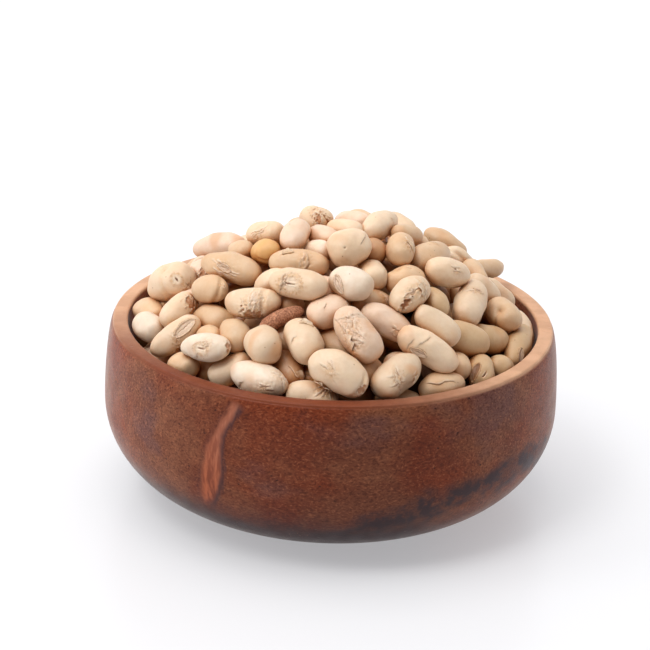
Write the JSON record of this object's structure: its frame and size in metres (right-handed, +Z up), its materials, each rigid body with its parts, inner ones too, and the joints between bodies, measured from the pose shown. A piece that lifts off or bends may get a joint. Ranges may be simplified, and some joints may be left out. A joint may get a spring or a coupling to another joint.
{
  "type": "bowl of roasted soybeans",
  "caption": "Round-bellied turned wooden bowl with a flat foot and a narrow rim, heaped above the rim with pale roasted soybeans.",
  "frame": {"origin": "middle of the bowl's flat foot, on the axis that the bowl was turned about", "axes": "+Z up along the bowl's axis; -Y towards the side that the picture shows; +X to the right in it"},
  "size_m": [0.1, 0.1, 0.0641],
  "materials": {
    "bowl_wood": "oiled and polished to a soft gloss, with fine dark pores",
    "roasted_beans": null
  },
  "bodies": {
    "root": {"bowl": "bowl_wood", "heap": "roasted_beans"}
  },
  "joints": []
}
